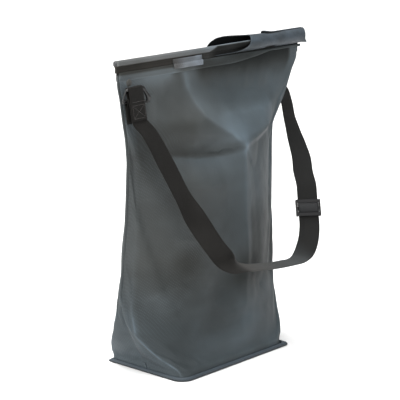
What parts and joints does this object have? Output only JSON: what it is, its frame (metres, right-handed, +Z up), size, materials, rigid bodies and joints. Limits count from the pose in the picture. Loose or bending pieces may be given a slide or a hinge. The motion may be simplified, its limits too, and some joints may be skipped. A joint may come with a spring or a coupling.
{
  "type": "dry bag",
  "caption": "Upright dry bag in coated fabric with a boxed base, a rod-and-sleeve mouth closure and an adjustable shoulder strap on ring anchors.",
  "frame": {"origin": "centre of the base footprint on the ground plane, on the underside of the base panel", "axes": "+Z up, +X along the mouth closure towards the end that carries the sleeve, front panel and hanging strap face -Y"},
  "size_m": [0.5136, 0.2855, 0.582],
  "materials": {
    "coated_fabric": "matte coated weave",
    "rim_rubber": "matte",
    "lip_strip": "matte",
    "rod_plastic": "satin",
    "sleeve_plastic": "matte",
    "webbing": "woven",
    "thread": "twisted",
    "ring_metal": "black plated",
    "hardware_plastic": "moulded"
  },
  "bodies": {
    "bag": {"front_panel": "coated_fabric", "rear_panel": "coated_fabric", "base_panel": "coated_fabric", "base_rim": "rim_rubber", "left_seam": "coated_fabric", "right_seam": "coated_fabric", "front_lip": "lip_strip", "rear_lip": "lip_strip", "mouth_hem": "coated_fabric", "closure_rod": "rod_plastic", "lip_patch": "lip_strip", "left_tab": "webbing", "right_tab": "webbing", "left_rivet": "hardware_plastic", "right_rivet": "hardware_plastic", "left_ring": "ring_metal", "right_ring": "ring_metal"},
    "sleeve": {"closure_sleeve": "sleeve_plastic"},
    "carry_strap": {"strap_webbing": "webbing", "left_stitching": "thread", "right_stitching": "thread"},
    "slider": {"slider_frame": "hardware_plastic", "slider_bar": "hardware_plastic"}
  },
  "joints": [
    {"name": "sleeve_slide", "type": "slide", "parent": "bag", "child": "sleeve", "axis": [1, 0, 0], "range_m": [-0.225, 0.262]},
    {"name": "strap_swing", "type": "hinge", "parent": "bag", "child": "carry_strap", "pos_m": [-0.207, -0.037, 0.526], "axis": [0.9959, 0.0906, 0], "range_deg": [-10, 8]},
    {"name": "slider_slide", "type": "slide", "parent": "carry_strap", "child": "slider", "axis": [0.2851, 0.3401, 0.8962], "range_m": [-0.009, 0.012]}
  ]
}
